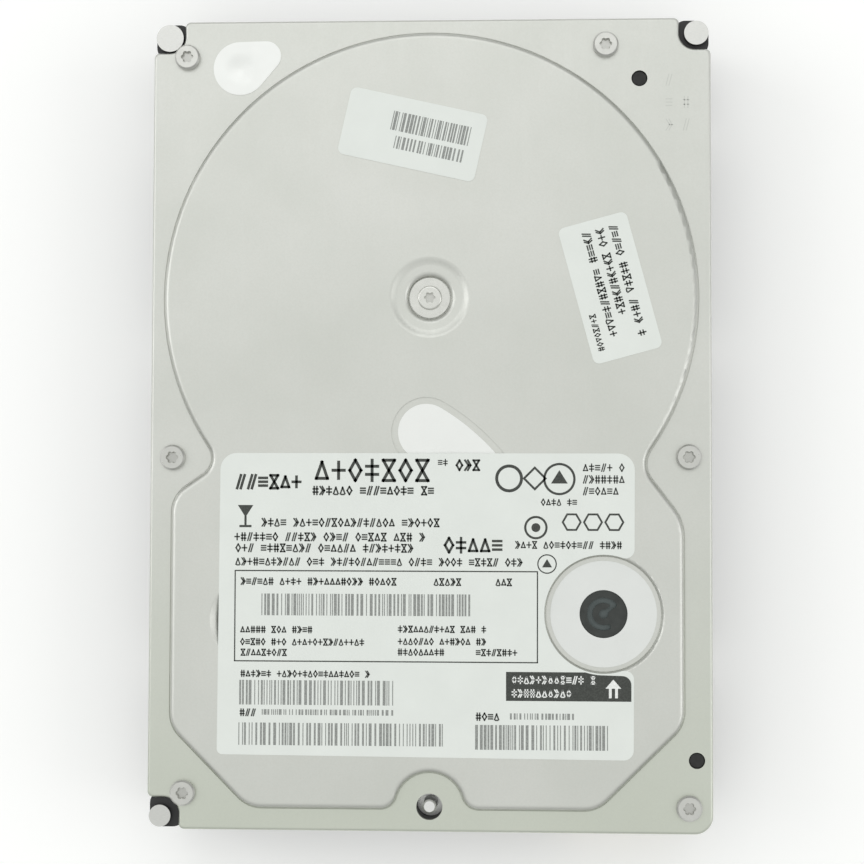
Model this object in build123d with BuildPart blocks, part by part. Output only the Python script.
from build123d import *

import os
from math import cos, radians, sin, tan

# 3.5 inch hard disk drive with five discs, built piece by piece.
# Frame: origin at the centre of the underside, +X to the right and +Y away from the
# connectors when looking down on the cover, +Z out of the cover. Millimetres.

os.makedirs("parts", exist_ok=True)

# ---------------------------------------------------------------- driving dimensions

WIDTH, LENGTH = 101.6, 147.0
HALF_W, HALF_L = WIDTH / 2, LENGTH / 2

# Levels above the underside
BOARD_BOTTOM = 2.2      # circuit board
BOARD_TOP = 3.4
BOARD_CEILING = 4.2     # casting over the circuit board
FLOOR = 6.0             # floor of the sealed bay
STEP_FLOOR = 13.5       # raised floor over the connectors
SKIRT_BOTTOM = 21.7     # turned-down edge of the cover
RIM = 23.4              # top of the casting's wall
FLANGE_UNDER = 23.7     # lowered rim of the cover
FLANGE = 24.7
CROWN_UNDER = 25.0      # raised middle of the cover
CROWN = 26.0
SHEET = 1.0             # the cover's thickness
PAPER = 0.1             # labels and foils; a label on the crown is the highest part, at 26.1

# Plan positions
SPINDLE = (0, 22.5)
PIVOT = (-19, -33)
BREATHER = (31.3, -34.4)
YOKE_SCREW = (-32.1, -35.8)
LOCATING_HOLE = (0.2, -69.0)
PLUG_HOLES = [(37.9, 62.4), (47.9, -60.4)]
RIM_SCREWS = [(-44.55, 66.8), (31.8, 68.55), (-46.65, -6.5), (46.6, -6.3), (-44.3, -66.9), (46.5, -68.8)]
INNER_SCREWS = [PIVOT, YOKE_SCREW]

# The raised middle of the cover and the bay under it share one outline
BAY_RADIUS = 48.4
LOWER_BAY = [(-30, -1.9), (-46.75, -13.4), (-46.75, -55), (-32.5, -69.4),
             (30.2, -69.4), (45.7, -54.2), (45.7, -17.7), (30, 2.7)]
BUMP_RADIUS = 6.2       # the outline steps round the locating hole
BAY_CORNERS = [((-38.0, -7.4), 3.5), ((37.9, -7.6), 4.5), ((-46.75, -13.4), 6), ((45.7, -17.7), 9),
               ((-46.75, -55), 6), ((45.7, -54.2), 6), ((-32.5, -69.4), 6), ((30.2, -69.4), 6),
               ((-6.0, -69.4), 3), ((6.4, -69.4), 3)]
STEP_Y = -60            # the bay's floor is raised beyond this line

NOTCH = 5.7             # corner notches that show the casting's posts
NOTCHED = [(-1, 1), (1, 1), (-1, -1)]

# Disc pack
DISC_COUNT = 5
DISC_RADIUS, DISC_BORE, DISC_THICK = 47.5, 12.5, 1.27
DISC_PITCH = 3.1
FIRST_DISC = 8.2
LAST_DISC_TOP = FIRST_DISC + (DISC_COUNT - 1) * DISC_PITCH + DISC_THICK
HUB_RADIUS = 12.45
CLAMP_RADIUS = 15.6
SHAFT_RADIUS = 3.0
RUNNING = 0.05          # radial clearance of a shaft in its bearing

# Head stack
ARM_THICK = 0.9
ARM_LEVELS = [FIRST_DISC + DISC_THICK / 2 + (i - 0.5) * DISC_PITCH for i in range(DISC_COUNT + 1)]
PARK_ANGLE = 17.2
ARM_RADIUS = 36.0       # pivot to the middle of an arm's tip
HEAD_RADIUS = 51.6
BEAM_THICK = 0.1
COIL_ANGLE = PARK_ANGLE + 180
COIL_BOTTOM, COIL_TOP = 13.2, 17.2
BARREL_RADIUS, BARREL_BORE = 9.6, 6.52
PAD_ANGLE = -68         # where the flex cable meets the carriage

# Voice coil motor
YOKE_INNER, YOKE_OUTER = 10.2, 25.0
YOKE_START, YOKE_END = 172, 258
LOWER_YOKE, UPPER_YOKE, YOKE_THICK = 7.2, 20.2, 3.0
MAGNET_THICK = 2.5
YOKE_EARS = [(24.5, 166.5), (26.8, 205), (24.0, 263)]     # radius and angle about the pivot

# Latch
LATCH = (-39.1, -55.3)

# Mounting holes
BOTTOM_HOLE_X = 95.25 / 2
BOTTOM_HOLE_YS = [-32.22, 12.23, 43.98]
SIDE_HOLE_Z = 6.35
SIDE_HOLE_YS = [-45.0, 15.0, 56.6]
TAPPED_RADIUS = 1.4     # tapping size of a 6-32 thread

# Underside
BOARD_BAY_X, BOARD_BAY_Y = 43.6, 15.0
CONNECTOR_BAY = (-43.6, 46.4, -61.5, 12.2)      # left, right, inner end, ceiling
MOTOR_SEAT = 18.6
BOARD_SCREWS = [(-38.5, 9.5), (38.5, 9.5), (-39, -25), (39, -25), (-38, -57), (20.5, -59.5)]
HEAD_CONNECTOR = (14, -50)

# Connectors
FACE_Y = -73.3          # the front of every connector
SATA_X, SATA_WIDTH = -22.3, 41.4
SATA_PITCH = 1.27
POWER_X, POWER_PITCH, POWER_Z = 35.5, 5.08, 6.5


# ---------------------------------------------------------------- shared shapes

def polar(centre, radius, angle):
    """The point at a radius and an angle about a centre, in plan."""
    return centre[0] + radius * cos(radians(angle)), centre[1] + radius * sin(radians(angle))


def ring(places, bottom, top, outer, inner=0.0, mode=Mode.ADD):
    """Discs or rings that stand between two levels of the piece being built."""
    with BuildSketch(Plane.XY.offset(bottom)) as outline:
        with Locations(*places):
            Circle(outer)
            if inner:
                Circle(inner, mode=Mode.SUBTRACT)
    extrude(outline.sketch, amount=top - bottom, mode=mode)


def block(left, right, front, back, bottom, top, corner=0.0, mode=Mode.ADD):
    """An upright block between six planes, with rounded upright edges if asked."""
    with BuildSketch(Plane.XY.offset(bottom)) as outline:
        with Locations(((left + right) / 2, (front + back) / 2)):
            if corner:
                RectangleRounded(right - left, back - front, corner)
            else:
                Rectangle(right - left, back - front)
    extrude(outline.sketch, amount=top - bottom, mode=mode)


def sector(centre, inner, outer, start, end, mode=Mode.ADD):
    """A sector of a ring between two angles, drawn into the current sketch."""
    with BuildLine() as edge:
        near = CenterArc(centre, inner, start, end - start)
        far = CenterArc(centre, outer, start, end - start)
        Line(near @ 0, far @ 0)
        Line(near @ 1, far @ 1)
    make_face(edge.edges(), mode=mode)


def torx(places, bottom, top, radius, draft=0):
    """Six-lobed sockets, cut into the piece being built; they widen upwards by draft degrees."""
    with BuildSketch(Plane.XY.offset(bottom)) as socket:
        for place in places:
            with Locations(place):
                Circle(radius * 0.78)
                with PolarLocations(radius * 0.74, 6):
                    Circle(radius * 0.26)
    extrude(socket.sketch, amount=top - bottom, taper=-draft, mode=Mode.SUBTRACT)


def raise_outline(face, bottom, top, mode=Mode.ADD):
    """The given flat outline, extruded between two levels."""
    extrude(Plane.XY.offset(bottom).from_local_coords(face), amount=top - bottom, mode=mode)


with BuildSketch() as bay:
    with Locations(SPINDLE):
        Circle(BAY_RADIUS)
    with BuildLine():
        Polyline(*LOWER_BAY, close=True)
    make_face()
    with Locations(LOCATING_HOLE):
        Circle(BUMP_RADIUS, mode=Mode.SUBTRACT)
    for corner, radius in BAY_CORNERS:
        fillet(bay.vertices().sort_by_distance(Vector(*corner))[0], radius)
BAY = bay.sketch


# ---------------------------------------------------------------- base casting

CASTING_INSET, RIM_INSET = 0.4, 0.7
CASTING_CORNER = 3.0
UNDER_POCKET = 3.9      # depth of the ribbed pocket beyond the circuit board
RIB_BOTTOM = 1.4
POSTS = [((-47.9, 70.5), 2.5), ((48.2, 70.7), 2.2), ((-48.5, -71.1), 1.97)]
POST_CORNER_INSET, POST_CORNER = 0.3, 2.2

with BuildPart() as base_casting:
    block(-HALF_W + CASTING_INSET, HALF_W - CASTING_INSET, -HALF_L + CASTING_INSET, HALF_L - CASTING_INSET,
          0, SKIRT_BOTTOM - 0.3, CASTING_CORNER)
    block(-HALF_W + RIM_INSET, HALF_W - RIM_INSET, -HALF_L + RIM_INSET, HALF_L - RIM_INSET,
          SKIRT_BOTTOM - 0.3, RIM, CASTING_CORNER)
    # Solid corners under the cover's notches
    for sx, sy in NOTCHED:
        xs = sorted([sx * (HALF_W - POST_CORNER_INSET), sx * (HALF_W - NOTCH - 1)])
        ys = sorted([sy * (HALF_L - POST_CORNER_INSET), sy * (HALF_L - NOTCH - 1)])
        block(*xs, *ys, SKIRT_BOTTOM - 1, RIM, POST_CORNER)
    # The sealed bay, deep under the discs and shallow over the connectors
    raise_outline(BAY, STEP_FLOOR, RIM, mode=Mode.SUBTRACT)
    with BuildSketch(Plane.XY.offset(FLOOR)) as deep_bay:
        add(BAY)
        with Locations((0, STEP_Y - 20)):
            Rectangle(WIDTH, 40, mode=Mode.SUBTRACT)
    extrude(amount=STEP_FLOOR - FLOOR, mode=Mode.SUBTRACT)
    # Screw bosses reach up to the cover, and three corner posts stand in the cover's notches
    ring(RIM_SCREWS, RIM, FLANGE_UNDER, 3.0)
    for place, radius in POSTS:
        ring([place], RIM - 1, FLANGE - 0.1, radius)
    ring(RIM_SCREWS, RIM - 7, FLANGE_UNDER, 1.3, mode=Mode.SUBTRACT)
    ring([LOCATING_HOLE], RIM - 8, RIM, 2.6, mode=Mode.SUBTRACT)
    ring(PLUG_HOLES, RIM - 2, RIM, 1.3, mode=Mode.SUBTRACT)
    # Circuit board bay, connector bay and the ribbed pocket on the underside
    block(-BOARD_BAY_X, BOARD_BAY_X, CONNECTOR_BAY[2] - 3, BOARD_BAY_Y, 0, BOARD_CEILING, 2.0,
          mode=Mode.SUBTRACT)
    block(CONNECTOR_BAY[0], CONNECTOR_BAY[1], -HALF_L, CONNECTOR_BAY[2], 0, CONNECTOR_BAY[3],
          mode=Mode.SUBTRACT)
    block(-BOARD_BAY_X, BOARD_BAY_X, BOARD_BAY_Y + 2.5, HALF_L - 5, 0, UNDER_POCKET, 3.0, mode=Mode.SUBTRACT)
    with BuildSketch(Plane.XY.offset(RIB_BOTTOM)) as spokes:
        with Locations(SPINDLE):
            for spoke in range(7):
                Rectangle(60, 1.6, rotation=spoke * 30, align=(Align.MIN, Align.CENTER))
            Circle(20, mode=Mode.SUBTRACT)
        with Locations((0, (BOARD_BAY_Y + HALF_L) / 2)):
            Rectangle(2 * BOARD_BAY_X, HALF_L - BOARD_BAY_Y - 7.5, mode=Mode.INTERSECT)
    extrude(spokes.sketch, amount=UNDER_POCKET - RIB_BOTTOM)
    ring([SPINDLE], 0.6, BOARD_CEILING, 21.0, MOTOR_SEAT)
    # Motor seat and opening
    ring([SPINDLE], 0, BOARD_CEILING, MOTOR_SEAT, mode=Mode.SUBTRACT)
    ring([SPINDLE], BOARD_CEILING, FLOOR, 16.8, mode=Mode.SUBTRACT)
    # Pads under the voice coil motor, the ramp and the circuit board
    ring([polar(PIVOT, r, a) for r, a in YOKE_EARS], FLOOR, LOWER_YOKE, 2.6)
    ring([LATCH], FLOOR, COIL_BOTTOM, 2.0)
    ring([LATCH], COIL_BOTTOM, COIL_TOP, 1.0)
    ring(BOARD_SCREWS, BOARD_TOP, BOARD_CEILING, 2.8)
    ring(BOARD_SCREWS, BOARD_TOP, FLOOR - 0.6, 1.25, mode=Mode.SUBTRACT)
    block(HEAD_CONNECTOR[0] - 8.2, HEAD_CONNECTOR[0] + 8.2, HEAD_CONNECTOR[1] - 2.7, HEAD_CONNECTOR[1] + 2.7,
          BOARD_CEILING, FLOOR, mode=Mode.SUBTRACT)
    # Mounting holes, with a raised pad round each side hole
    for side in (-1, 1):
        block(side * 47.1 - 1.3, side * 47.1 + 1.3, SIDE_HOLE_YS[1] - 4, SIDE_HOLE_YS[1] + 4, FLOOR, 7.8)
        for y in SIDE_HOLE_YS:
            face = Plane(origin=(side * HALF_W, y, SIDE_HOLE_Z), x_dir=(0, 1, 0), z_dir=(-side, 0, 0))
            with BuildSketch(face) as pad:
                Circle(4.4)
            extrude(pad.sketch, amount=CASTING_INSET + 0.2)
            with BuildSketch(face) as hole:
                Circle(TAPPED_RADIUS)
            extrude(hole.sketch, amount=3.5, mode=Mode.SUBTRACT)
    for y in BOTTOM_HOLE_YS:
        ring([(-BOTTOM_HOLE_X, y), (BOTTOM_HOLE_X, y)], 0, 4.5, TAPPED_RADIUS, mode=Mode.SUBTRACT)

base_casting.part.label = "base_casting"
export_step(base_casting.part, "parts/base_casting.step")


# ---------------------------------------------------------------- top cover

SKIRT = 0.5
DISHES = [(YOKE_SCREW, 7.5, 66), (PIVOT, 4.6, 42)]     # place, rim radius, wall's angle from upright
CREASE, CREASE_DEPTH = 0.18, 0.25     # groove at the foot of the raised middle
SEAT_RADIUS = 3.87      # coined seat of the spindle screw
BREATHER_RADIUS, BREATHER_FLOOR = 10.25, 25.3
SERVO_SLOT = (36.2, 41, 59.3)       # radius about the pivot, first and last angle
SERVO_FLOOR = 25.75
CLOCK_PORT = [((-34.87, 64.74), 4.9), ((-30.15, 67.0), 2.75)]

with BuildSketch() as cover_outline:
    RectangleRounded(WIDTH, LENGTH, 3.3)
    for sx, sy in NOTCHED:
        with Locations((sx * HALF_W, sy * HALF_L)):
            Rectangle(2 * NOTCH, 2 * NOTCH, mode=Mode.SUBTRACT)
    for sx, sy in NOTCHED:
        inside = Vector(sx * (HALF_W - NOTCH), sy * (HALF_L - NOTCH))
        fillet(cover_outline.vertices().sort_by_distance(inside)[0], 2.9)
        for outside in [Vector(sx * HALF_W, inside.Y), Vector(inside.X, sy * HALF_L)]:
            fillet(cover_outline.vertices().sort_by_distance(outside)[0], 1.0)

with BuildSketch() as skirt_band:
    RectangleRounded(WIDTH, LENGTH, 3.3)
    RectangleRounded(WIDTH - 2 * SKIRT, LENGTH - 2 * SKIRT, 3.3 - SKIRT, mode=Mode.SUBTRACT)
    for sx, sy in NOTCHED:
        with Locations((sx * HALF_W, sy * HALF_L)):
            Rectangle(2 * NOTCH + 2, 2 * NOTCH + 2, mode=Mode.SUBTRACT)

with BuildSketch() as bay_inside:
    add(offset(BAY, -SHEET - 0.1, mode=Mode.PRIVATE))

with BuildSketch() as crease_outline:
    add(offset(BAY, CREASE, mode=Mode.PRIVATE))

with BuildSketch() as servo_recess:
    with Locations(PIVOT):
        servo_path = CenterArc((0, 0), SERVO_SLOT[0], SERVO_SLOT[1], SERVO_SLOT[2] - SERVO_SLOT[1],
                               mode=Mode.PRIVATE)
        SlotArc(servo_path, 2 * 6.3)

with BuildPart() as top_cover:
    raise_outline(cover_outline.sketch, FLANGE_UNDER, FLANGE)
    fillet(top_cover.edges().group_by(Axis.Z)[-1], 0.55)
    raise_outline(skirt_band.sketch, SKIRT_BOTTOM, FLANGE_UNDER)
    # The raised middle, with a rounded wall and a crease round its foot
    raise_outline(crease_outline.sketch, FLANGE - CREASE_DEPTH, FLANGE, mode=Mode.SUBTRACT)
    with BuildPart(mode=Mode.PRIVATE) as crown:
        raise_outline(BAY, FLANGE_UNDER, CROWN)
        fillet(crown.edges().group_by(Axis.Z)[-1], 1.05)
    add(crown.part)
    raise_outline(bay_inside.sketch, FLANGE_UNDER, CROWN_UNDER, mode=Mode.SUBTRACT)
    # Round dishes pressed down for the yoke and pivot screws
    for place, radius, lean in DISHES:
        ring([place], FLANGE_UNDER, CROWN_UNDER, radius + 0.8)
        with BuildSketch(Plane.XY.offset(FLANGE)) as dish:
            with Locations(place):
                Circle(radius - (CROWN - FLANGE) * tan(radians(lean)))
        extrude(dish.sketch, amount=CROWN - FLANGE, taper=-lean, mode=Mode.SUBTRACT)
        lip = top_cover.edges().filter_by(GeomType.CIRCLE).group_by(Axis.Z)[-1].sort_by_distance(
            Vector(*place, CROWN))[0]
        fillet(lip, 0.7)
    # The spindle's dish steps down softly and rolls over into the screw's seat
    ring([SPINDLE], FLANGE_UNDER, CROWN_UNDER, 8.0)
    with BuildSketch(Plane.XZ.offset(-SPINDLE[1])) as dish_profile:
        with BuildLine():
            roll = RadiusArc((SEAT_RADIUS, FLANGE + 0.2), (4.7, 25.5), 1.1)
            shelf = Line(roll @ 1, (5.9, 25.55))
            rise = Spline(shelf @ 1, (7.4, CROWN), tangents=[(1, 0), (1, 0)])
            Polyline(rise @ 1, (7.4, CROWN + 1), (0, CROWN + 1), (0, FLANGE), (SEAT_RADIUS, FLANGE), roll @ 0)
        make_face()
    revolve(dish_profile.sketch, axis=Axis((*SPINDLE, 0), (0, 0, 1)), mode=Mode.SUBTRACT)
    # Breather recess
    ring([BREATHER], CROWN_UNDER - 0.7, CROWN_UNDER, BREATHER_RADIUS + 1.4)
    with BuildSketch(Plane.XY.offset(BREATHER_FLOOR)) as recess:
        with Locations(BREATHER):
            Circle(BREATHER_RADIUS)
    extrude(recess.sketch, amount=CROWN - BREATHER_FLOOR, taper=-35, mode=Mode.SUBTRACT)
    lip = top_cover.edges().filter_by(GeomType.CIRCLE).group_by(Axis.Z)[-1].sort_by_distance(
        Vector(*BREATHER, CROWN))[0]
    fillet(lip, 0.5)
    ring([BREATHER], CROWN_UNDER - 0.7, BREATHER_FLOOR, 4.3, mode=Mode.SUBTRACT)
    # Shallow recess and slot for the servo seal, port under the clock seal
    raise_outline(servo_recess.sketch, SERVO_FLOOR, CROWN, mode=Mode.SUBTRACT)
    with BuildSketch(Plane.XY.offset(CROWN_UNDER)) as servo_slot:
        with Locations(PIVOT):
            SlotArc(servo_path, 2 * 2.6)
    extrude(servo_slot.sketch, amount=SERVO_FLOOR - CROWN_UNDER, mode=Mode.SUBTRACT)
    ring([CLOCK_PORT[0][0]], FLANGE_UNDER, FLANGE, 2.4, mode=Mode.SUBTRACT)
    # Holes: rim screws, inner screws, coined seat of the spindle screw, locating pin, plugs
    ring(RIM_SCREWS + INNER_SCREWS, FLANGE_UNDER, FLANGE, 1.5, mode=Mode.SUBTRACT)
    ring([SPINDLE], FLANGE_UNDER, FLANGE, 1.7, mode=Mode.SUBTRACT)
    ring([SPINDLE], FLANGE - 0.5, FLANGE, SEAT_RADIUS, mode=Mode.SUBTRACT)
    ring([LOCATING_HOLE], FLANGE_UNDER, FLANGE, 2.35, mode=Mode.SUBTRACT)
    ring(PLUG_HOLES, FLANGE_UNDER, FLANGE, 1.45, mode=Mode.SUBTRACT)

top_cover.part.label = "top_cover"
export_step(top_cover.part, "parts/top_cover.step")


# ---------------------------------------------------------------- gasket, screws, seals and labels

GASKET_GAP, GASKET_WIDTH = 0.3, 1.1
HEAD_R, HEAD_H = 2.3, 1.05
SHANK_R = 1.25

with BuildPart() as cover_gasket:
    raise_outline(offset(BAY, GASKET_GAP + GASKET_WIDTH), RIM, FLANGE_UNDER)
    raise_outline(offset(BAY, GASKET_GAP), RIM, FLANGE_UNDER, mode=Mode.SUBTRACT)
cover_gasket.part.label = "cover_gasket"
export_step(cover_gasket.part, "parts/cover_gasket.step")

with BuildPart() as cover_screws:
    ring(RIM_SCREWS + INNER_SCREWS, FLANGE, FLANGE + HEAD_H, HEAD_R)
    chamfer(cover_screws.edges().group_by(Axis.Z)[-1], 0.3)
    ring(RIM_SCREWS, FLANGE - 6, FLANGE, SHANK_R)
    ring(INNER_SCREWS, UPPER_YOKE + 0.6, FLANGE, SHANK_R)
    torx(RIM_SCREWS + INNER_SCREWS, FLANGE + 0.25, FLANGE + HEAD_H, 1.0, draft=10)
cover_screws.part.label = "cover_screws"
export_step(cover_screws.part, "parts/cover_screws.step")

with BuildPart() as spindle_screw:
    ring([SPINDLE], FLANGE - 0.5, FLANGE + 0.1, 3.65)
    ring([SPINDLE], FLANGE + 0.1, FLANGE + 0.65, 2.2)
    fillet(spindle_screw.edges().group_by(Axis.Z)[-1], 0.35)
    ring([SPINDLE], FLANGE - 6, FLANGE - 0.5, 1.5)
    torx([SPINDLE], FLANGE - 0.3, FLANGE + 0.65, 1.05)
spindle_screw.part.label = "spindle_screw"
export_step(spindle_screw.part, "parts/spindle_screw.step")

with BuildPart() as hole_plugs:
    ring(PLUG_HOLES, FLANGE_UNDER, FLANGE - 0.15, 1.4)
    fillet(hole_plugs.edges().group_by(Axis.Z)[-1], 0.3)
hole_plugs.part.label = "hole_plugs"
export_step(hole_plugs.part, "parts/hole_plugs.step")

with BuildPart() as locating_pin:
    ring([LOCATING_HOLE], RIM - 8, RIM - 5, 2.5)
    ring([LOCATING_HOLE], RIM - 5, FLANGE - 0.1, 1.27)
    chamfer(locating_pin.edges().group_by(Axis.Z)[-1], 0.3)
locating_pin.part.label = "locating_pin"
export_step(locating_pin.part, "parts/locating_pin.step")

with BuildPart() as foil_seals:
    with BuildSketch(Plane.XY.offset(FLANGE)) as clock_foil:
        for place, radius in CLOCK_PORT:
            with Locations(place):
                Circle(radius)
        make_hull()
    extrude(amount=PAPER)
    with BuildSketch(Plane.XY.offset(SERVO_FLOOR)) as servo_foil:
        with Locations(PIVOT):
            SlotArc(servo_path, 2 * 5.1)
    extrude(amount=PAPER)
foil_seals.part.label = "foil_seals"
export_step(foil_seals.part, "parts/foil_seals.step")

with BuildPart() as breather_disc:
    ring([BREATHER], BREATHER_FLOOR, BREATHER_FLOOR + 0.12, 9.5, 4.28)
breather_disc.part.label = "breather_disc"
export_step(breather_disc.part, "parts/breather_disc.step")

# The diffuser is a moulded cup under the breather hole, with a spiral air channel in its face
with BuildPart() as breather_diffuser:
    ring([BREATHER], CROWN_UNDER - 5, CROWN_UNDER - 0.8, 6.5)
    ring([BREATHER], CROWN_UNDER - 0.8, BREATHER_FLOOR - 0.05, 4.2)
    with BuildSketch(Plane.XY.offset(BREATHER_FLOOR - 0.6)) as channel:
        with Locations(BREATHER):
            with BuildLine(mode=Mode.PRIVATE) as spiral:
                CenterArc((0, 0), 2.45, 40, 250)
            for arc in spiral.edges():
                SlotArc(arc, 1.0)
            with Locations((0.95, 0.8)):
                SlotOverall(2.9, 0.8, rotation=41)
            Circle(0.85)
    extrude(amount=0.6, mode=Mode.SUBTRACT)
    ring([BREATHER], CROWN_UNDER - 5, CROWN_UNDER - 1.4, 5.6, mode=Mode.SUBTRACT)
breather_diffuser.part.label = "breather_diffuser"
export_step(breather_diffuser.part, "parts/breather_diffuser.step")

MAIN_LABEL = [(-37.7, -5.7), (36.9, -5.7), (36.6, -60.3), (-38.0, -59.8)]
LABEL_CORNERS = [3.0, 3.0, 1.8, 1.0]
LABEL_CUT = 10.6        # opening round the breather
with BuildPart() as main_label:
    with BuildSketch(Plane.XY.offset(CROWN)) as label_face:
        with BuildLine():
            Polyline(*MAIN_LABEL, close=True)
        make_face()
        for corner, radius in zip(MAIN_LABEL, LABEL_CORNERS):
            fillet(label_face.vertices().sort_by_distance(Vector(*corner, CROWN))[0], radius)
        with Locations(BREATHER):
            Circle(LABEL_CUT, mode=Mode.SUBTRACT)
        fillet(label_face.vertices().filter_by_position(Axis.Y, -46, -22), 1.6)
    extrude(amount=PAPER)
main_label.part.label = "main_label"
export_step(main_label.part, "parts/main_label.step")

with BuildPart() as barcode_label:
    with BuildSketch(Plane.XY.offset(CROWN)):
        with Locations(Location((-3.16, 52.16), -12.6)):
            RectangleRounded(25.4, 12.5, 1.2)
    extrude(amount=PAPER)
barcode_label.part.label = "barcode_label"
export_step(barcode_label.part, "parts/barcode_label.step")

with BuildPart() as part_label:
    with BuildSketch(Plane.XY.offset(CROWN)):
        with Locations(Location((32.5, 24.1), -74.8)):
            RectangleRounded(25.4, 12.7, 1.2)
    extrude(amount=PAPER)
part_label.part.label = "part_label"
export_step(part_label.part, "parts/part_label.step")


# ---------------------------------------------------------------- spindle motor

FLANGE_PLUG = 16.7
BOSS_BORE, BOSS_RADIUS = 4.8, 5.8
STATOR_RADIUS, TOOTH_COUNT = 9.9, 9
MAGNET_BORE, MAGNET_RADIUS = 10.3, 11.25
HUB_SKIRT = 5.8         # bottom of the hub

with BuildPart() as motor_flange:
    ring([SPINDLE], 2.6, BOARD_CEILING, MOTOR_SEAT - 0.1)
    chamfer(motor_flange.edges().group_by(Axis.Z)[0], 0.4)
    ring([SPINDLE], BOARD_CEILING, 5.2, FLANGE_PLUG)
    ring([SPINDLE], 5.2, 12.0, BOSS_RADIUS)
    ring([SPINDLE], 4.4, 12.0, BOSS_BORE, mode=Mode.SUBTRACT)
    ring([SPINDLE], 1.6, 2.6, 6.0)
    ring([SPINDLE], 1.6, 4.4, SHAFT_RADIUS, mode=Mode.SUBTRACT)
    with BuildSketch(Plane.XY.offset(2.6)) as screw_dimples:
        with Locations(SPINDLE):
            with PolarLocations(15.2, 3, start_angle=90):
                Circle(1.5)
    extrude(screw_dimples.sketch, amount=0.7, mode=Mode.SUBTRACT)
motor_flange.part.label = "motor_flange"
export_step(motor_flange.part, "parts/motor_flange.step")

with BuildPart() as spindle_shaft:
    ring([SPINDLE], 1.8, FLANGE_UNDER, SHAFT_RADIUS)
    ring([SPINDLE], FLANGE - 7, FLANGE_UNDER, 1.55, mode=Mode.SUBTRACT)
spindle_shaft.part.label = "spindle_shaft"
export_step(spindle_shaft.part, "parts/spindle_shaft.step")

with BuildPart() as stator_core:
    with BuildSketch(Plane.XY.offset(7.4)) as laminations:
        with Locations(SPINDLE):
            Circle(STATOR_RADIUS)
            Circle(STATOR_RADIUS - 0.9, mode=Mode.SUBTRACT)
            with PolarLocations(STATOR_RADIUS, TOOTH_COUNT, start_angle=180 / TOOTH_COUNT):
                Rectangle(4, 0.7, mode=Mode.SUBTRACT)
            with PolarLocations(7.4, TOOTH_COUNT):
                Rectangle(3.8, 1.5)
            Circle(6.4)
            Circle(BOSS_RADIUS + 0.05, mode=Mode.SUBTRACT)
    extrude(amount=4.4)
stator_core.part.label = "stator_core"
export_step(stator_core.part, "parts/stator_core.step")

with BuildPart() as stator_windings:
    with BuildSketch(Plane.XY.offset(6.4)) as coils:
        with Locations(SPINDLE):
            with PolarLocations(7.65, TOOTH_COUNT):
                RectangleRounded(2.1, 3.3, 0.4)
    extrude(amount=6.4)
    with BuildSketch(Plane.XY.offset(7.3)) as teeth:
        with Locations(SPINDLE):
            with PolarLocations(7.65, TOOTH_COUNT):
                Rectangle(3, 1.6)
    extrude(amount=4.6, mode=Mode.SUBTRACT)
stator_windings.part.label = "stator_windings"
export_step(stator_windings.part, "parts/stator_windings.step")


# ---------------------------------------------------------------- disc pack

CLAMP_SCREW_PCD = 16.4

with BuildPart() as spindle_hub:
    ring([SPINDLE], FIRST_DISC - 1.6, FIRST_DISC, 15.9)
    ring([SPINDLE], HUB_SKIRT, LAST_DISC_TOP - 0.3, HUB_RADIUS)
    ring([SPINDLE], HUB_SKIRT, 13.4, MAGNET_RADIUS + 0.05, mode=Mode.SUBTRACT)
    ring([SPINDLE], HUB_SKIRT, 13.4, SHAFT_RADIUS + 1.4)
    ring([SPINDLE], HUB_SKIRT, LAST_DISC_TOP, SHAFT_RADIUS + RUNNING, mode=Mode.SUBTRACT)
    with BuildSketch(Plane.XY.offset(17)) as threads:
        with Locations(SPINDLE):
            with PolarLocations(CLAMP_SCREW_PCD / 2, 6):
                Circle(0.95)
    extrude(amount=5, mode=Mode.SUBTRACT)
spindle_hub.part.label = "spindle_hub"
export_step(spindle_hub.part, "parts/spindle_hub.step")

with BuildPart() as rotor_magnet:
    ring([SPINDLE], 6.2, 12.8, MAGNET_RADIUS, MAGNET_BORE)
rotor_magnet.part.label = "rotor_magnet"
export_step(rotor_magnet.part, "parts/rotor_magnet.step")

for number in range(DISC_COUNT):
    level = FIRST_DISC + number * DISC_PITCH
    with BuildPart() as platter:
        ring([SPINDLE], level, level + DISC_THICK, DISC_RADIUS, DISC_BORE)
        chamfer(platter.edges().filter_by(GeomType.CIRCLE).group_by(SortBy.RADIUS)[-1], 0.15)
    platter.part.label = f"platter_{number + 1}"
    export_step(platter.part, f"parts/platter_{number + 1}.step")

with BuildPart() as disc_spacers:
    for number in range(DISC_COUNT - 1):
        level = FIRST_DISC + number * DISC_PITCH
        ring([SPINDLE], level + DISC_THICK, level + DISC_PITCH, 16.2, DISC_BORE + 0.05)
disc_spacers.part.label = "disc_spacers"
export_step(disc_spacers.part, "parts/disc_spacers.step")

# The clamp rests on the hub and presses on the last disc with its outer lip
with BuildPart() as disc_clamp:
    ring([SPINDLE], LAST_DISC_TOP - 0.3, LAST_DISC_TOP + 0.5, 11.5, 4.0)
    ring([SPINDLE], LAST_DISC_TOP + 0.2, LAST_DISC_TOP + 0.9, CLAMP_RADIUS, 10.5)
    ring([SPINDLE], LAST_DISC_TOP, LAST_DISC_TOP + 0.2, CLAMP_RADIUS, 13.6)
    fillet(disc_clamp.edges().filter_by(GeomType.CIRCLE).group_by(Axis.Z)[-1].sort_by(SortBy.RADIUS)[-1], 0.3)
    with BuildSketch(Plane.XY.offset(LAST_DISC_TOP - 0.3)) as clamp_holes:
        with Locations(SPINDLE):
            with PolarLocations(CLAMP_SCREW_PCD / 2, 6):
                Circle(0.95)
    extrude(amount=0.8, mode=Mode.SUBTRACT)
disc_clamp.part.label = "disc_clamp"
export_step(disc_clamp.part, "parts/disc_clamp.step")

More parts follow.
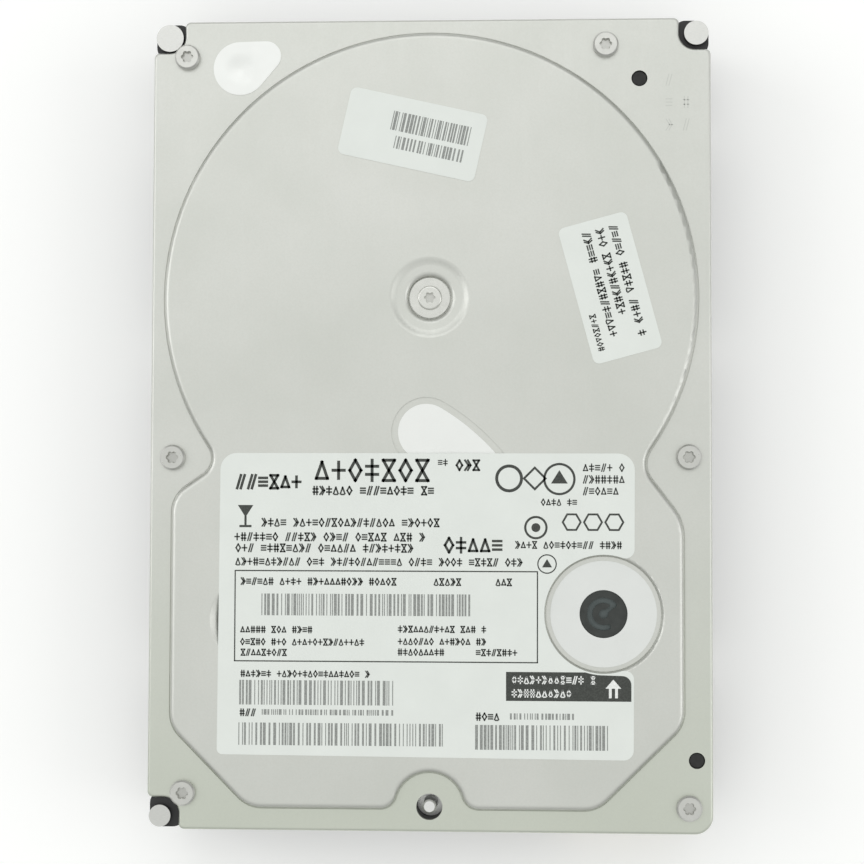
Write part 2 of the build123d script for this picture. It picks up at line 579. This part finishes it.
with BuildPart() as clamp_screws:
    places = [polar(SPINDLE, CLAMP_SCREW_PCD / 2, turn * 60) for turn in range(6)]
    ring(places, LAST_DISC_TOP + 0.5, LAST_DISC_TOP + 1.2, 1.7)
    ring(places, 17.5, LAST_DISC_TOP + 0.5, 0.9)
    torx(places, LAST_DISC_TOP + 0.75, LAST_DISC_TOP + 1.2, 0.9)
clamp_screws.part.label = "clamp_screws"
export_step(clamp_screws.part, "parts/clamp_screws.step")


# ---------------------------------------------------------------- head stack

BARREL_BOTTOM, BARREL_TOP = 6.6, 23.3
COIL_INNER, COIL_OUTER, COIL_HALF = 11.2, 23.6, 17.5
PAD_RADIUS = 10.6
BEAM_ROOT, BEAM_END = 35.5, 52.0
HEAD = polar(PIVOT, HEAD_RADIUS, PARK_ANGLE)


def beam_faces(level_index):
    """The sides of an arm that carry a head: +1 up, -1 down."""
    faces = [1] if level_index < DISC_COUNT else []
    return faces + ([-1] if level_index > 0 else [])


with BuildPart() as head_carriage:
    ring([PIVOT], BARREL_BOTTOM, BARREL_TOP, BARREL_RADIUS)
    for level in ARM_LEVELS:
        with BuildSketch(Plane.XY.offset(level - ARM_THICK / 2)) as arm:
            with Locations(PIVOT):
                Circle(BARREL_RADIUS)
            with Locations(polar(PIVOT, ARM_RADIUS, PARK_ANGLE)):
                Circle(3.2)
            make_hull()
            with Locations(polar(PIVOT, 17, PARK_ANGLE)):
                Circle(3.6, mode=Mode.SUBTRACT)
            with Locations(polar(PIVOT, 26.5, PARK_ANGLE)):
                Circle(2.4, mode=Mode.SUBTRACT)
        extrude(arm.sketch, amount=ARM_THICK)
    # Flat pad that carries the flex cable's end
    with BuildSketch(Plane.XY.offset(8.5)) as pad_block:
        with Locations(Location(polar(PIVOT, PAD_RADIUS - 2, PAD_ANGLE), PAD_ANGLE)):
            Rectangle(4, 9)
    extrude(pad_block.sketch, amount=11)
    ring([PIVOT], BARREL_BOTTOM, BARREL_TOP, BARREL_BORE, mode=Mode.SUBTRACT)
head_carriage.part.label = "head_carriage"
export_step(head_carriage.part, "parts/head_carriage.step")

with BuildPart() as pivot_bearing:
    ring([PIVOT], BARREL_BOTTOM - 0.2, BARREL_TOP + 0.1, 6.5, SHAFT_RADIUS + RUNNING)
    for level in (10, 20):
        ring([PIVOT], level - 0.15, level + 0.15, 6.5, 6.2, mode=Mode.SUBTRACT)
pivot_bearing.part.label = "pivot_bearing"
export_step(pivot_bearing.part, "parts/pivot_bearing.step")

with BuildPart() as voice_coil:
    with BuildSketch(Plane.XY.offset(COIL_BOTTOM)) as turns:
        sector(PIVOT, COIL_INNER, COIL_OUTER, COIL_ANGLE - COIL_HALF, COIL_ANGLE + COIL_HALF)
        fillet(turns.vertices(), 1.2)
        with BuildSketch(mode=Mode.PRIVATE) as window:
            sector(PIVOT, COIL_INNER + 2.6, COIL_OUTER - 2.6, COIL_ANGLE - 8, COIL_ANGLE + 8)
            fillet(window.vertices(), 0.6)
        add(window.sketch, mode=Mode.SUBTRACT)
    extrude(amount=COIL_TOP - COIL_BOTTOM)
voice_coil.part.label = "voice_coil"
export_step(voice_coil.part, "parts/voice_coil.step")

with BuildPart() as coil_frame:
    with BuildSketch(Plane.XY.offset(COIL_BOTTOM + 0.3)) as rim:
        sector(PIVOT, BARREL_RADIUS + 0.02, COIL_OUTER + 0.6, COIL_ANGLE - 21.5, COIL_ANGLE + 21.5)
        sector(PIVOT, COIL_INNER - 0.05, COIL_OUTER + 0.05, COIL_ANGLE - COIL_HALF - 0.2,
               COIL_ANGLE + COIL_HALF + 0.2, mode=Mode.SUBTRACT)
    extrude(amount=COIL_TOP - COIL_BOTTOM - 0.6)
coil_frame.part.label = "coil_frame"
export_step(coil_frame.part, "parts/coil_frame.step")

with BuildPart() as suspensions:
    for index, level in enumerate(ARM_LEVELS):
        for side in beam_faces(index):
            bottom = level + ARM_THICK / 2 if side > 0 else level - ARM_THICK / 2 - BEAM_THICK
            with BuildSketch(Plane.XY.offset(bottom)) as beam:
                with Locations(polar(PIVOT, BEAM_ROOT, PARK_ANGLE)):
                    Circle(2.4)
                with Locations(polar(PIVOT, BEAM_END - 0.8, PARK_ANGLE)):
                    Circle(0.8)
                make_hull()
                with Locations(Location(polar(PIVOT, BEAM_END + 1, PARK_ANGLE), PARK_ANGLE)):
                    Rectangle(2.4, 0.7)
            extrude(beam.sketch, amount=BEAM_THICK)
suspensions.part.label = "suspensions"
export_step(suspensions.part, "parts/suspensions.step")

with BuildPart() as sliders:
    for index, level in enumerate(ARM_LEVELS):
        for side in beam_faces(index):
            face = level + side * (ARM_THICK / 2 + BEAM_THICK)
            with BuildSketch(Plane.XY.offset(min(face, face + side * 0.3))) as slider:
                with Locations(Location(HEAD, PARK_ANGLE)):
                    Rectangle(1.25, 1.0)
            extrude(slider.sketch, amount=0.3)
sliders.part.label = "sliders"
export_step(sliders.part, "parts/sliders.step")

with BuildPart() as preamp_chip:
    with BuildSketch(Plane.XY.offset(12)) as chip:
        with Locations(Location(polar(PIVOT, PAD_RADIUS + 0.75, PAD_ANGLE), PAD_ANGLE)):
            Rectangle(0.9, 4.5)
    extrude(amount=4)
preamp_chip.part.label = "preamp_chip"
export_step(preamp_chip.part, "parts/preamp_chip.step")


# ---------------------------------------------------------------- voice coil motor and fixed internals

with BuildSketch() as yoke_outline:
    sector(PIVOT, YOKE_INNER, YOKE_OUTER, YOKE_START, YOKE_END)
    with Locations(*[polar(PIVOT, r, a) for r, a in YOKE_EARS]):
        Circle(2.9)

with BuildSketch() as magnet_outline:
    sector(PIVOT, YOKE_INNER + 1.3, YOKE_OUTER - 1, YOKE_START + 4, YOKE_END - 4)
    fillet(magnet_outline.vertices(), 1)

with BuildPart() as lower_yoke:
    raise_outline(yoke_outline.sketch, LOWER_YOKE, LOWER_YOKE + YOKE_THICK)
lower_yoke.part.label = "lower_yoke"
export_step(lower_yoke.part, "parts/lower_yoke.step")

with BuildPart() as upper_yoke:
    raise_outline(yoke_outline.sketch, UPPER_YOKE, UPPER_YOKE + YOKE_THICK)
    ring([YOKE_SCREW], UPPER_YOKE + YOKE_THICK, FLANGE_UNDER, 3.0)
    ring([YOKE_SCREW], UPPER_YOKE, FLANGE_UNDER, SHANK_R + 0.05, mode=Mode.SUBTRACT)
upper_yoke.part.label = "upper_yoke"
export_step(upper_yoke.part, "parts/upper_yoke.step")

with BuildPart() as voice_coil_magnets:
    raise_outline(magnet_outline.sketch, LOWER_YOKE + YOKE_THICK, LOWER_YOKE + YOKE_THICK + MAGNET_THICK)
    raise_outline(magnet_outline.sketch, UPPER_YOKE - MAGNET_THICK, UPPER_YOKE)
voice_coil_magnets.part.label = "voice_coil_magnets"
export_step(voice_coil_magnets.part, "parts/voice_coil_magnets.step")

with BuildPart() as yoke_standoffs:
    ring([polar(PIVOT, r, a) for r, a in YOKE_EARS], LOWER_YOKE + YOKE_THICK, UPPER_YOKE, 1.7)
yoke_standoffs.part.label = "yoke_standoffs"
export_step(yoke_standoffs.part, "parts/yoke_standoffs.step")

with BuildPart() as pivot_shaft:
    ring([PIVOT], FLOOR, FLANGE_UNDER, SHAFT_RADIUS)
    ring([PIVOT], UPPER_YOKE, FLANGE_UNDER, SHANK_R + 0.05, mode=Mode.SUBTRACT)
pivot_shaft.part.label = "pivot_shaft"
export_step(pivot_shaft.part, "parts/pivot_shaft.step")

# The ramp parks the heads: a spine beside the discs with a finger at each arm's level
with BuildPart() as load_ramp:
    with BuildSketch(Plane.XY.offset(FLOOR)) as spine:
        sector(PIVOT, 55.2, 58.5, 12.5, 20.5)
    extrude(spine.sketch, amount=BARREL_TOP - FLOOR)
    ring([polar(PIVOT, 60, 14.5)], FLOOR, FLOOR + 2, 3.0)
    for level in ARM_LEVELS:
        with BuildSketch(Plane.XY.offset(level - 0.35)) as finger:
            sector(PIVOT, 52.8, 54.2, 12.5, 23.5)
            sector(PIVOT, 54.1, 55.4, 12.5, 19.5)
        extrude(finger.sketch, amount=0.7)
load_ramp.part.label = "load_ramp"
export_step(load_ramp.part, "parts/load_ramp.step")

with BuildPart() as crash_stops:
    ring([polar(PIVOT, 18.2, 166), polar(PIVOT, 18.5, 263.5)], FLOOR, 19.5, 1.3)
crash_stops.part.label = "crash_stops"
export_step(crash_stops.part, "parts/crash_stops.step")

with BuildPart() as recirculation_filter:
    block(40.8, 43.8, -34, -23, FLOOR, 18, 0.8)
recirculation_filter.part.label = "recirculation_filter"
export_step(recirculation_filter.part, "parts/recirculation_filter.step")

with BuildPart() as absorbent_packet:
    block(23, 38, -44, -33, FLOOR, 10, 1.5)
    fillet(absorbent_packet.edges().group_by(Axis.Z)[-1], 1.0)
absorbent_packet.part.label = "absorbent_packet"
export_step(absorbent_packet.part, "parts/absorbent_packet.step")

with BuildPart() as head_connector:
    block(HEAD_CONNECTOR[0] - 8, HEAD_CONNECTOR[0] + 8, HEAD_CONNECTOR[1] - 2.5, HEAD_CONNECTOR[1] + 2.5,
          BOARD_TOP, 8.4)
head_connector.part.label = "head_connector"
export_step(head_connector.part, "parts/head_connector.step")

# The flex cable leaves the carriage's pad, loops round and lies on the bracket's upright
FLEX_THICK, FLEX_BOTTOM, FLEX_HEIGHT = 0.16, 8.8, 10.5
with BuildLine() as flex_path:
    pad_middle = Vector(*polar(PIVOT, PAD_RADIUS + 0.12, PAD_ANGLE))
    pad_end = Vector(*polar((0, 0), 4, PAD_ANGLE + 90))
    on_pad = Line(pad_middle - pad_end, pad_middle + pad_end)
    loop = JernArc(on_pad @ 1, on_pad % 1, 10, -(180 + PAD_ANGLE))
    on_bracket = Line(loop @ 1, (loop @ 1) - Vector(0, 5))

with BuildPart() as flex_cable:
    with BuildSketch(Plane.XY.offset(FLEX_BOTTOM)) as flex_section:
        trace(flex_path.line, FLEX_THICK)
    extrude(amount=FLEX_HEIGHT)
flex_cable.part.label = "flex_cable"
export_step(flex_cable.part, "parts/flex_cable.step")

with BuildPart() as flex_bracket:
    upright = (on_bracket @ 0).X + FLEX_THICK / 2 + 0.1
    x, y = HEAD_CONNECTOR
    block(upright - 0.5, x + 10, y - 5, y + 5, FLOOR, 7.2, 0.4)
    block(x - 8.1, x + 8.1, y - 2.6, y + 2.6, FLOOR, 7.2, mode=Mode.SUBTRACT)
    block(upright, upright + 1.2, y - 4.5, y + 4.5, 7.2, FLEX_BOTTOM + FLEX_HEIGHT)
flex_bracket.part.label = "flex_bracket"
export_step(flex_bracket.part, "parts/flex_bracket.step")

with BuildPart() as latch_lever:
    with BuildSketch(Plane.XY.offset(COIL_BOTTOM + 0.2)) as lever:
        with Locations(LATCH):
            Circle(2.2)
        with Locations(polar(PIVOT, 27.6, 212)):
            Circle(0.9)
        make_hull()
        with Locations(polar(PIVOT, 28.5, 240)):
            Circle(1.4)
        with BuildSketch(mode=Mode.PRIVATE) as counterweight:
            with Locations(LATCH):
                Circle(2.0)
            with Locations(polar(PIVOT, 28.5, 240)):
                Circle(1.4)
            make_hull()
        add(counterweight.sketch)
        with Locations(LATCH):
            Circle(1.0 + RUNNING, mode=Mode.SUBTRACT)
    extrude(amount=COIL_TOP - COIL_BOTTOM - 0.6)
latch_lever.part.label = "latch_lever"
export_step(latch_lever.part, "parts/latch_lever.step")


# ---------------------------------------------------------------- circuit board

BOARD_HALF, BOARD_BACK = 42.6, 14.0
BOARD_FRONT = -66.5
PASSIVE_ROWS = [(-30, -2, 5), (-6, -36, 6), (30, -47, 5), (8, -8, 4), (-28, -44, 4)]
CHIPS = {"controller_chip": ((-13, -20), 14, 14, 1.2),
         "memory_chip": ((17, -33), 22, 10.2, 1.1),
         "motor_driver_chip": ((27, -8), 9, 9, 1.0)}

with BuildSketch() as board_outline:
    with Locations((0, (BOARD_BACK + BOARD_FRONT) / 2)):
        RectangleRounded(2 * BOARD_HALF, BOARD_BACK - BOARD_FRONT, 1.5)
    with Locations(SPINDLE):
        Circle(21.6, mode=Mode.SUBTRACT)

with BuildPart() as circuit_board:
    raise_outline(board_outline.sketch, BOARD_BOTTOM, BOARD_TOP)
    ring(BOARD_SCREWS, BOARD_BOTTOM, BOARD_TOP, 1.4, mode=Mode.SUBTRACT)
circuit_board.part.label = "circuit_board"
export_step(circuit_board.part, "parts/circuit_board.step")

with BuildPart() as board_insulator:
    raise_outline(offset(board_outline.sketch, -0.8), BOARD_TOP, BOARD_TOP + 0.5)
    ring(BOARD_SCREWS, BOARD_TOP, BOARD_TOP + 0.5, 3.1, mode=Mode.SUBTRACT)
    block(-BOARD_HALF, BOARD_HALF, BOARD_FRONT, CONNECTOR_BAY[2] + 1, BOARD_TOP, BOARD_TOP + 0.5,
          mode=Mode.SUBTRACT)
    block(HEAD_CONNECTOR[0] - 8.3, HEAD_CONNECTOR[0] + 8.3, HEAD_CONNECTOR[1] - 2.8, HEAD_CONNECTOR[1] + 2.8,
          BOARD_TOP, BOARD_TOP + 0.5, mode=Mode.SUBTRACT)
board_insulator.part.label = "board_insulator"
export_step(board_insulator.part, "parts/board_insulator.step")

for name, (place, length, width, height) in CHIPS.items():
    with BuildPart() as chip_body:
        block(place[0] - length / 2, place[0] + length / 2, place[1] - width / 2, place[1] + width / 2,
              BOARD_BOTTOM - height, BOARD_BOTTOM)
        chamfer(chip_body.edges().group_by(Axis.Z)[0], 0.12)
        ring([(place[0] - length / 2 + 1.3, place[1] + width / 2 - 1.3)], BOARD_BOTTOM - height,
             BOARD_BOTTOM - height + 0.15, 0.5, mode=Mode.SUBTRACT)
    chip_body.part.label = name
    export_step(chip_body.part, f"parts/{name}.step")

with BuildPart() as board_passives:
    for x, y, count in PASSIVE_ROWS:
        with BuildSketch(Plane.XY.offset(BOARD_BOTTOM - 0.6)) as row:
            with Locations((x, y)):
                with GridLocations(2.4, 2.6, count, 2):
                    Rectangle(1.0, 1.9)
        extrude(row.sketch, amount=0.6)
    block(30, 35, -30, -22, BOARD_BOTTOM - 1.6, BOARD_BOTTOM)
    block(-36, -31, -36, -28, BOARD_BOTTOM - 1.6, BOARD_BOTTOM)
    block(-3, 1, -12, -7, BOARD_BOTTOM - 1.0, BOARD_BOTTOM, 0.8)
board_passives.part.label = "board_passives"
export_step(board_passives.part, "parts/board_passives.step")

with BuildPart() as board_screws:
    ring(BOARD_SCREWS, BOARD_BOTTOM - 0.9, BOARD_BOTTOM, 2.3)
    fillet(board_screws.edges().group_by(Axis.Z)[0], 0.3)
    ring(BOARD_SCREWS, BOARD_BOTTOM, FLOOR - 0.8, 1.2)
    torx(BOARD_SCREWS, BOARD_BOTTOM - 0.9, BOARD_BOTTOM - 0.35, 1.05)
board_screws.part.label = "board_screws"
export_step(board_screws.part, "parts/board_screws.step")


# ---------------------------------------------------------------- connectors

SATA_BOTTOM, SATA_TOP = 1.4, 8.4
TONGUE_BOTTOM, TONGUE_TOP = 4.3, 5.5
TONGUE_BACK = -67.6
SATA_POWER_X, SATA_DATA_X = -30.6, -12.0        # middles of the fifteen and seven contact tongues

with BuildPart() as sata_connector:
    block(SATA_X - SATA_WIDTH / 2, SATA_X + SATA_WIDTH / 2, FACE_Y, BOARD_FRONT - 0.1, SATA_BOTTOM, SATA_TOP)
    block(SATA_X - SATA_WIDTH / 2, SATA_X + SATA_WIDTH / 2, BOARD_FRONT - 0.1, -62.3, BOARD_TOP, SATA_TOP)
    block(SATA_X - SATA_WIDTH / 2 + 1.2, SATA_X + SATA_WIDTH / 2 - 1.2, FACE_Y, TONGUE_BACK,
          SATA_BOTTOM + 0.9, SATA_TOP - 1.0, mode=Mode.SUBTRACT)
    for middle, half in ((SATA_POWER_X, 10.3), (SATA_DATA_X, 5.0)):
        block(middle - half, middle + half, FACE_Y + 0.6, TONGUE_BACK, TONGUE_BOTTOM, TONGUE_TOP)
        block(middle + half - 1.2, middle + half, FACE_Y + 0.6, TONGUE_BACK, TONGUE_BOTTOM - 1.1,
              TONGUE_BOTTOM)
    block(SATA_X + SATA_WIDTH / 2 - 3.4, SATA_X + SATA_WIDTH / 2 - 1.2, FACE_Y, TONGUE_BACK,
          SATA_BOTTOM + 0.9, SATA_TOP - 1.0)
sata_connector.part.label = "sata_connector"
export_step(sata_connector.part, "parts/sata_connector.step")

with BuildPart() as sata_contacts:
    for middle, count in ((SATA_POWER_X - 0.6, 15), (SATA_DATA_X - 0.6, 7)):
        for index in range(count):
            x = middle + (index - (count - 1) / 2) * SATA_PITCH
            block(x - 0.4, x + 0.4, FACE_Y + 1.0, TONGUE_BACK, TONGUE_BOTTOM - 0.12, TONGUE_BOTTOM)
sata_contacts.part.label = "sata_contacts"
export_step(sata_contacts.part, "parts/sata_contacts.step")

POWER_HALF_W, POWER_HALF_H = 10.4, 5.3
power_face = Plane(origin=(POWER_X, FACE_Y, POWER_Z), x_dir=(1, 0, 0), z_dir=(0, -1, 0))
with BuildPart() as power_connector:
    block(POWER_X - POWER_HALF_W, POWER_X + POWER_HALF_W, FACE_Y, -62.0, POWER_Z - POWER_HALF_H,
          POWER_Z + POWER_HALF_H)
    block(POWER_X - POWER_HALF_W, POWER_X + POWER_HALF_W, BOARD_FRONT - 0.1, -62.0, POWER_Z - POWER_HALF_H,
          BOARD_TOP, mode=Mode.SUBTRACT)
    with BuildSketch(power_face) as socket:
        Rectangle(2 * POWER_HALF_W - 2, 2 * POWER_HALF_H - 2.4)
        chamfer(socket.vertices().group_by(Axis.Z)[-1], 2.0)
    extrude(socket.sketch, amount=-5.6, mode=Mode.SUBTRACT)
power_connector.part.label = "power_connector"
export_step(power_connector.part, "parts/power_connector.step")

with BuildPart() as power_pins:
    with BuildSketch(power_face.offset(-0.9)) as pins:
        with GridLocations(POWER_PITCH, 0, 4, 1):
            Circle(1.0)
    extrude(amount=-4.7)
    fillet(power_pins.edges().group_by(Axis.Y)[0], 0.4)
power_pins.part.label = "power_pins"
export_step(power_pins.part, "parts/power_pins.step")

JUMPER_X, JUMPER_PITCH = 9.0, 2.0
with BuildPart() as jumper_block:
    block(JUMPER_X - 5.2, JUMPER_X + 5.2, BOARD_FRONT - 0.1, -63.5, BOARD_TOP, BOARD_TOP + 4.2)
    block(JUMPER_X - 5.2, JUMPER_X + 5.2, BOARD_FRONT - 2.0, BOARD_FRONT - 0.1, BOARD_TOP - 0.4,
          BOARD_TOP + 4.2)
jumper_block.part.label = "jumper_block"
export_step(jumper_block.part, "parts/jumper_block.step")

with BuildPart() as jumper_pins:
    for column in range(5):
        for row in range(2):
            x = JUMPER_X + (column - 2) * JUMPER_PITCH
            z = BOARD_TOP + 0.9 + row * JUMPER_PITCH
            block(x - 0.25, x + 0.25, FACE_Y + 0.6, BOARD_FRONT - 2.0, z - 0.25, z + 0.25)
jumper_pins.part.label = "jumper_pins"
export_step(jumper_pins.part, "parts/jumper_pins.step")
